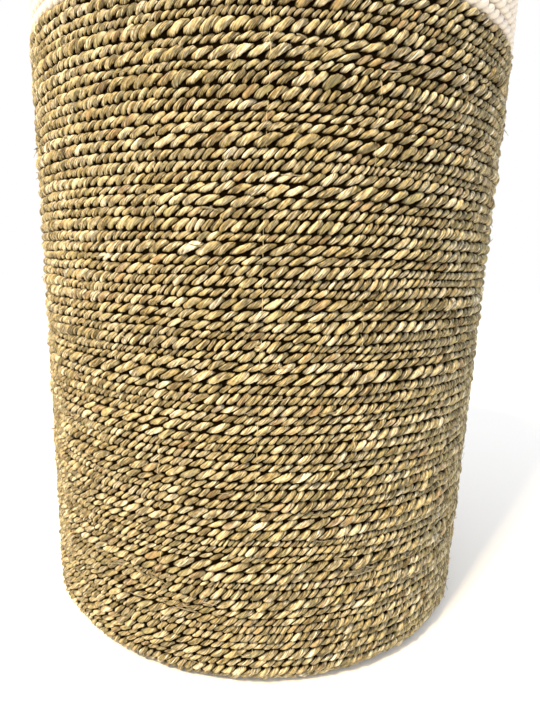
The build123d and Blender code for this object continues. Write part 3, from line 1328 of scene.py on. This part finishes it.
@dataclass
class SewingThreads:
    """Waxed thread that goes through every course and shows as short stitches on some of them.

    Attributes:
        natural, band: the cords that it holds.
        material: its finish.
        diameter: its thickness.
        upright, radial: threads all round the wall, and all round the base.
        showing: share of the courses on which a stitch shows.
        levels: heights on a course where the thread's place is taken, as shares of its diameter.
        window: half height round a level where the skin is looked at. This and the next four are
            shares of the course's radius.
        hollow, least: reach of the thread where the skin is missing, and its least reach.
        sunk: how far a thread that doesn't show is pulled in.
        between: reach of the thread between courses.
    """

    natural: NaturalCord
    band: WhiteBand
    material: bpy.types.Material
    diameter: float = 0.42 * MM
    upright: int = 18
    radial: int = 12
    showing: float = 0.25
    levels: tuple[float, ...] = (-0.42, 0.0, 0.42)
    window: float = 0.22
    hollow: float = 0.4
    least: float = 0.25
    sunk: float = 0.3
    between: float = 0.12

    def build(self) -> None:
        """Build the three runs of thread."""
        stack = self.natural.stack
        self.run("base", self.natural, 1, stack.base, self.radial)
        self.run("wall", self.natural, stack.wall_foot, stack.natural, self.upright)
        self.run("band", self.band, stack.natural, stack.total, self.upright)

    def run(self, part: str, cord: LaidCord, first: int, last: int, count: int) -> None:
        """Build the threads that hold a run of courses.

        Args:
            part: part of the basket that they hold.
            cord: cord whose skin the threads cross.
            first: first course that they cross.
            last: course after the last one.
            count: threads all round.
        """
        name = f"{part}_thread_lines"
        loops = []
        rng = np.random.default_rng(SEED + 31)
        for index in range(count):
            angle = TURN * (index + 0.5) / count + rng.normal(0, 0.004)
            share = ((angle - cord.stack.step_angle) / TURN) % 1.0
            outside = self.side(cord, first, last, share, 1, rng)
            inside = self.side(cord, first, last, share, -1, rng)
            line = np.concatenate((outside, inside[::-1]))
            line[:, 2] = np.maximum(line[:, 2], 0.6 * self.diameter)
            path = tube_path(line, self.diameter, 1.2 * MM, closed=True)
            rings = round_rings(path, 5, 0.6 + 0.15 * rng.random())
            loops.append(skin_mesh(f"{name}_{index}", rings, self.material))
        settle(join_pieces(name, loops), "sewing_thread", f"{part}_threads")

    def side(
        self, cord: LaidCord, first: int, last: int, share: float, sign: int,
        rng: np.random.Generator,
    ) -> np.ndarray:
        """Lay a thread over one side of the courses.

        Args:
            cord: cord whose skin it crosses.
            first: first course.
            last: course after the last one.
            share: where round the basket, in turns from the step.
            sign: 1 for the outer side and -1 for the inner side.
            rng: random source.

        Returns:
            Points of the thread.
        """
        points = []
        path, vertices = cord.path, cord.rings[0]
        for course in range(first, last):
            ring = int(np.clip(np.searchsorted(cord.course, course + share), 0, len(vertices) - 1))
            centre, outward, upward = path.point[ring], path.outward[ring], path.upward[ring]
            arm = vertices[ring] - centre
            across, up = arm @ outward * sign, arm @ upward
            half = path.diameter[ring] / 2
            # a stitch lies on the skin; elsewhere the thread is pulled in under it
            lift = 0.1 * self.diameter if rng.random() < self.showing else -self.sunk * half
            for level in self.levels:
                near = np.abs(up - level * 2 * half) < self.window * half
                reach = across[near].max() if near.any() else self.hollow * half
                reach = max(reach, self.least * half) + lift
                points.append(centre + outward * reach * sign + upward * level * 2 * half)
            if course < last - 1:
                points.append(centre + upward * half + outward * (self.between * half * sign))
        return np.array(points)


def sew(
    name: str, lines: Iterable[np.ndarray], thickness: float, spacing: float,
    yarn: tuple[int, float, float], cord: bpy.types.Material, node: str,
) -> None:
    """Make one piece from closed loops of cotton cord.

    Args:
        name: the piece's name.
        lines: points of each loop.
        thickness: diameter of the cord.
        spacing: distance between rings.
        yarn: points round the cord, how pale it is and the lay of its yarns in millimetres.
        cord: its finish.
        node: CAD node that it stands for.
    """
    loops = []
    for index, line in enumerate(lines):
        rings = round_rings(tube_path(line, thickness, spacing, closed=True), *yarn)
        loops.append(skin_mesh(f"{name}_{index}", rings, cord))
    settle(join_pieces(name, loops), "cotton_cord", node)


@dataclass
class Handle:
    """One rope handle, with a cord wound round its grip.

    The arch stands on two legs inside the white band and rises above the rim.
    """

    side: str
    rope: bpy.types.Material
    cord: bpy.types.Material
    diameter: float = 14.0 * MM
    span: float = 140.0 * MM
    corner: float = 48.0 * MM
    wrap: float = 2.1 * MM
    wrap_gap: float = 0.05 * MM
    fill: float = 0.985
    lobe: float = 0.95

    def build(self) -> None:
        """Build the rope and its wrap."""
        low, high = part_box(f"handle_{self.side}")
        self.plane = (low[0] + high[0]) / 2
        self.top = high[2] - self.diameter / 2
        self.build_rope(low[2])
        self.build_wrap(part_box(f"grip_wrap_{self.side}")[0][2])

    def arch(self, foot: float) -> np.ndarray:
        """Points of the arch from the foot of its front leg to the foot of its back leg.

        Args:
            foot: height where both legs start.

        Returns:
            The points, close enough for a smooth line.
        """
        reach, corner = self.span / 2, self.corner
        front = [(-reach, z) for z in np.linspace(foot, self.top - corner, 20)[:-1]]
        front += [
            (-reach + corner * (1 - math.cos(a)), self.top - corner * (1 - math.sin(a)))
            for a in np.linspace(0, math.pi / 2, 25)
        ]
        line = front + [(-y, z) for y, z in reversed(front)]
        return np.array([(self.plane, y, z) for y, z in line])

    def build_rope(self, foot: float) -> None:
        """Lay the three strands of the rope along the arch.

        Args:
            foot: height where the legs start.
        """
        arch, thickness = self.arch(foot), self.diameter * self.fill
        path = tube_path(arch, thickness, 1.6 * MM, outside=self.facing)
        path.phase = path.run / (3 * self.lobe * self.diameter) * TURN
        rings = TwistedSkin.rope(51, 9, 0.02, 0.1).rings(path)
        piece = skin_mesh(f"handle_rope_{self.side}", rings, self.rope)
        settle(piece, "handle_rope", f"handle_{self.side}")

    def build_wrap(self, foot: float) -> None:
        """Wind the cord round the grip, turn beside turn.

        Args:
            foot: height where the wrap starts on each leg.
        """
        arch = self.arch(foot + self.wrap / 2)
        axis = tube_path(arch, self.diameter, 0.5 * MM, outside=self.facing)
        length = axis.run[-1]
        turns = int(length / self.wrap)
        samples = np.linspace(0, length, turns * 26)
        angle = samples / length * turns * TURN
        radius = self.diameter / 2 + self.wrap / 2 + self.wrap_gap
        centre, outward, upward = (
            interpolate(samples, axis.run, rows) for rows in (axis.point, axis.outward, axis.upward)
        )
        arm = outward * np.cos(angle)[:, None] + upward * np.sin(angle)[:, None]
        path = tube_path(centre + arm * radius, self.wrap * 1.03, 2.0 * MM)
        nearest = np.linspace(0, len(centre) - 1, len(path.point)).round().astype(int)
        along = unit(np.gradient(path.point, axis=0))
        path.outward = square_to(path.point - centre[nearest], along)
        path.upward = np.cross(path.outward, along)
        piece = skin_mesh(f"grip_winding_{self.side}", round_rings(path, 8, 0.62, 5.0), self.cord)
        settle(piece, "cotton_cord", f"grip_wrap_{self.side}")

    def facing(self, points: np.ndarray) -> np.ndarray:
        """Outward direction of the handle's plane at each point."""
        return np.tile((math.copysign(1.0, self.plane), 0.0, 0.0), (len(points), 1))


@dataclass
class Lashing:
    """Turns of cotton cord round one leg of a handle and through the white band."""

    node: str
    cord: bpy.types.Material
    thickness: float = 2.2 * MM
    turns: int = 3
    bend_radius: float = 8.3 * MM
    outer_radius: float = 9.3 * MM
    margin: float = 1.2 * MM

    def build(self) -> None:
        """Build the turns from the box and the middle of the CAD lashing."""
        low, high = (np.array(corner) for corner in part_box(self.node))
        middle = (low + high) / 2
        angle = math.atan2(middle[1], middle[0])
        outward = np.array((math.cos(angle), math.sin(angle), 0.0))
        sideways = np.array((-outward[1], outward[0], 0.0))
        # the CAD ring is a slot turned by the leg's angle, so its box gives its length
        reach = (high[0] - low[0] - 2 * self.outer_radius) / abs(outward[0]) / 2
        bend, radius = np.linspace(-math.pi / 2, math.pi / 2, 15), self.bend_radius
        right = [(reach + radius * math.cos(a), radius * math.sin(a)) for a in bend]
        outline = right + [(-x, -y) for x, y in right]
        rng = np.random.default_rng(SEED + 3)
        lines = []
        for level in np.linspace(low[2] + self.margin, high[2] - self.margin, self.turns):
            tilt = rng.normal(0, 0.03)
            rows = [
                middle * (1, 1, 0) + outward * x + sideways * y + (0, 0, level + tilt * y)
                for x, y in outline
            ]
            lines.append(np.array(rows))
        yarn = (10, 0.6, 6.0)
        sew(f"{self.node}_cord", lines, self.thickness, 1.2 * MM, yarn, self.cord, self.node)


@dataclass
class RimBinding:
    """Overcast stitches that hold the rim rope down."""

    cord: bpy.types.Material
    thickness: float = 1.7 * MM
    count: int = 36
    slant: float = 1.6 * MM
    margin: float = 0.8 * MM

    def build(self) -> None:
        """Build the stitches all round."""
        low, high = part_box("rim_binding")
        radius = (high[2] - low[2]) / 2 - self.margin
        middle = (high[2] + low[2]) / 2
        # the box is a little narrower than the circle that the stitches lie on
        band = (high[0] - radius - self.margin) / math.cos(math.pi / self.count)
        rng = np.random.default_rng(SEED + 4)
        lines = []
        for index in range(self.count):
            angle = TURN * (index + 0.5) / self.count
            outward = np.array((math.cos(angle), math.sin(angle), 0.0))
            sideways = np.array((-outward[1], outward[0], 0.0))
            lean = self.slant * (1 + rng.normal(0, 0.2))
            rows = [
                outward * (band + radius * math.cos(a))
                + sideways * lean * math.sin(a)
                + (0, 0, middle + radius * math.sin(a))
                for a in np.linspace(0, TURN, 33)[:-1]
            ]
            lines.append(np.array(rows))
        yarn = (8, 0.55, 4.0)
        sew("rim_stitches", lines, self.thickness, 1.3 * MM, yarn, self.cord, "rim_binding")


@dataclass
class LooseEnds:
    """Ends of leaf that stand out of the cord where one bundle is spliced onto the next."""

    cord: NaturalCord
    count: int = 250
    inside: float = 0.2
    splices: int = 14
    ends_in_splice: int = 11
    splice_rings: float = 22
    length_mm: tuple[float, float] = (5, 17)
    lift_mm: tuple[float, float] = (0.4, 3.0)
    lift_factors: tuple[float, ...] = (1.0, 1.0, 1.7)
    sag_mm: float = 3.0
    width_mm: tuple[float, float] = (0.35, 0.9)
    thickness: float = 0.22 * MM
    least_height: float = 1.0 * MM

    def build(self) -> None:
        """Scatter the ends over the outside of the wall and a few inside, and bunch some."""
        rng = np.random.default_rng(SEED + 9)
        stack, courses = self.cord.stack, self.cord.course
        first = int(np.searchsorted(courses, stack.base + 0.5))
        last = int(np.searchsorted(courses, stack.natural - 0.6))
        strips = []
        for _ in range(self.count):
            ring = int(rng.integers(first, last))
            side = -1 if rng.random() < self.inside else 1
            strips.append(self.strip(len(strips), ring, side, rng))
        for _ in range(self.splices):
            middle = int(rng.integers(first, last))
            for _ in range(self.ends_in_splice):
                ring = int(np.clip(middle + rng.normal(0, self.splice_rings), first, last))
                strips.append(self.strip(len(strips), ring, 1, rng))
        piece = join_pieces("loose_leaf_ends", strips)
        settle(piece, self.cord.slot, *[f"wall_coil_{n:02d}" for n in range(1, 12)])

    def strip(
        self, index: int, ring: int, side: int, rng: np.random.Generator
    ) -> bpy.types.Object:
        """Make one narrow strip of leaf that leaves the cord at a grazing angle.

        Args:
            index: number of the strip.
            ring: ring of the cord where it starts.
            side: 1 outside, -1 inside.
            rng: random source.

        Returns:
            The strip.
        """
        path = self.cord.path
        outward, upward = path.outward[ring] * side, path.upward[ring]
        along = np.cross(upward, path.outward[ring]) * rng.choice((-1.0, 1.0))
        length = rng.uniform(*self.length_mm) * MM
        lift = rng.uniform(*self.lift_mm) * MM * rng.choice(self.lift_factors)
        sag = rng.normal(0, self.sag_mm) * MM
        half = path.diameter[ring] / 2
        share = np.linspace(0, 1, 9)
        base = path.point[ring] + outward * half * 0.75 + upward * rng.uniform(-0.7, 0.7) * half
        line = (
            base
            + along * (length * share)[:, None]
            + outward * (lift * share**1.5 + 0.5 * MM * np.sin(share * 3))[:, None]
            + upward * (sag * share**2)[:, None]
        )
        # an end near the heel lies on the surface that the basket stands on
        line[:, 2] = np.maximum(line[:, 2], self.least_height)
        strip = tube_path(line, 1.0, length / 8)
        width = rng.uniform(*self.width_mm) * MM * (1 - 0.75 * strip.run / strip.run[-1])
        tone = float(np.clip(rng.normal(0.6, 0.2), 0.1, 1))
        vertices, strand, look = round_rings(strip, 6, tone)
        # press the unit tube flat: its height becomes the width of the leaf
        centre = strip.point[:, None, :]
        arm = vertices - centre
        flat = arm @ upward
        thin = arm - flat[..., None] * upward
        broad = flat[..., None] * upward * width[:, None, None] * 2
        vertices = centre + broad + thin * self.thickness
        return skin_mesh(f"leaf_end_{index}", (vertices, strand, look), self.cord.material)


@dataclass(frozen=True)
class AreaLight:
    """A square area light: where it stands, what it faces, its width, watts and colour."""

    name: str
    place: tuple[float, float, float]
    target: tuple[float, float, float]
    size: float
    power: float
    colour: str

    def build(self) -> None:
        """Add the light to the scene."""
        light = bpy.data.lights.new(self.name, "AREA")
        light.shape = "SQUARE"
        light.size = self.size
        light.energy = self.power
        light.color = linear(self.colour)[:3]
        lamp = bpy.data.objects.new(self.name, light)
        bpy.context.scene.collection.objects.link(lamp)
        lamp.location = self.place
        offset = np.array(self.place) - np.array(self.target)
        level = math.hypot(offset[0], offset[1])
        lamp.rotation_euler = (math.atan2(level, offset[2]), 0, math.atan2(offset[0], -offset[1]))


@dataclass
class Studio:
    """Plain pale ground, soft light from the upper left and the camera."""

    eye: tuple[float, float, float] = (0.0082, -0.5268, 0.3079)
    pitch_deg: float = 10.85
    roll_deg: float = 2.01
    lens_mm: float = 26.45
    sensor_mm: float = 36.0
    ground_size: float = 12.0
    lights: tuple[AreaLight, ...] = (
        AreaLight("key_light", (-1.2, -1.6, 2.5), (0.0, 0.0, 0.33), 0.6, 174.0, "#ffe2b6"),
        AreaLight("fill_light", (1.6, -1.5, 1.3), (0.0, 0.0, 0.3), 1.4, 2.4, "#d9e3ff"),
    )

    def build(self, paper: bpy.types.Material) -> None:
        """Make the ground, the lights and the camera.

        Args:
            paper: finish of the ground.
        """
        self.build_ground(paper)
        self.build_surround()
        for light in self.lights:
            light.build()
        self.build_camera()

    def build_ground(self, paper: bpy.types.Material) -> None:
        """Lay a wide level sheet under the basket.

        Args:
            paper: its finish.
        """
        half = self.ground_size / 2
        corners = [(-half, -half, 0), (half, -half, 0), (half, half, 0), (-half, half, 0)]
        mesh = bpy.data.meshes.new("ground")
        mesh.from_pydata(corners, [], [(0, 1, 2, 3)])
        mesh.materials.append(paper)
        ground = bpy.data.objects.new("ground", mesh)
        bpy.context.scene.collection.objects.link(ground)

    def build_surround(self) -> None:
        """Set an even white surround."""
        world = bpy.data.worlds.new("white_surround")
        world.use_nodes = True
        background = world.node_tree.nodes["Background"]
        background.inputs["Color"].default_value = linear("#ffffff")
        background.inputs["Strength"].default_value = 1.0
        bpy.context.scene.world = world

    def build_camera(self) -> None:
        """Look slightly down at the basket from close by."""
        camera = bpy.data.cameras.new("camera")
        camera.sensor_width = self.sensor_mm
        camera.lens = self.lens_mm
        camera.clip_start = 0.01
        holder = bpy.data.objects.new("camera", camera)
        bpy.context.scene.collection.objects.link(holder)
        holder.location = self.eye
        tilt, roll = math.radians(90 - self.pitch_deg), math.radians(self.roll_deg)
        turn = Matrix.Rotation(tilt, 3, "X") @ Matrix.Rotation(roll, 3, "Z")
        holder.rotation_euler = turn.to_euler()
        bpy.context.scene.camera = holder


def main() -> None:
    """Build the basket part by part, then the studio round it."""
    logging.basicConfig(level=logging.INFO, format="%(name)s: %(message)s")
    bpy.context.scene.view_settings.view_transform = "Standard"
    Studio().build(PaperFinish().make())
    stack = Stack(Profile())
    seagrass = SeagrassFinish().make()
    # the core's near-black colours are painted shade, for a sheet seen only in the gaps between
    # courses
    core = SeagrassFinish(
        "seagrass_core_painted_shade", dark="#1c1409", tan="#2a1e0f", straw="#35281a", cream="#403222"
    ).make()
    cotton = CottonFinish("cotton_rope_white").make()
    cord = CottonFinish("cotton_cord_waxed", "#ece4d2", "#c9bda4", yarn_mm=0.35).make()
    thread = CottonFinish("sewing_thread_flax", "#c9bb92", "#93835a", yarn_mm=0.2).make()
    jute = SeagrassFinish("handle_rope_jute", rib_mm=0.3, crease=0.0).make()
    natural = NaturalCord(stack, seagrass, core)
    natural.build()
    band = WhiteBand(stack, cotton)
    band.build()
    SewingThreads(natural, band, thread).build()
    LooseEnds(natural).build()
    for side in ("left", "right"):
        Handle(side, jute, cord).build()
        for end in ("front", "back"):
            Lashing(f"lashing_{side}_{end}", cord).build()
    RimBinding(cord).build()


if __name__ == "__main__":
    main()
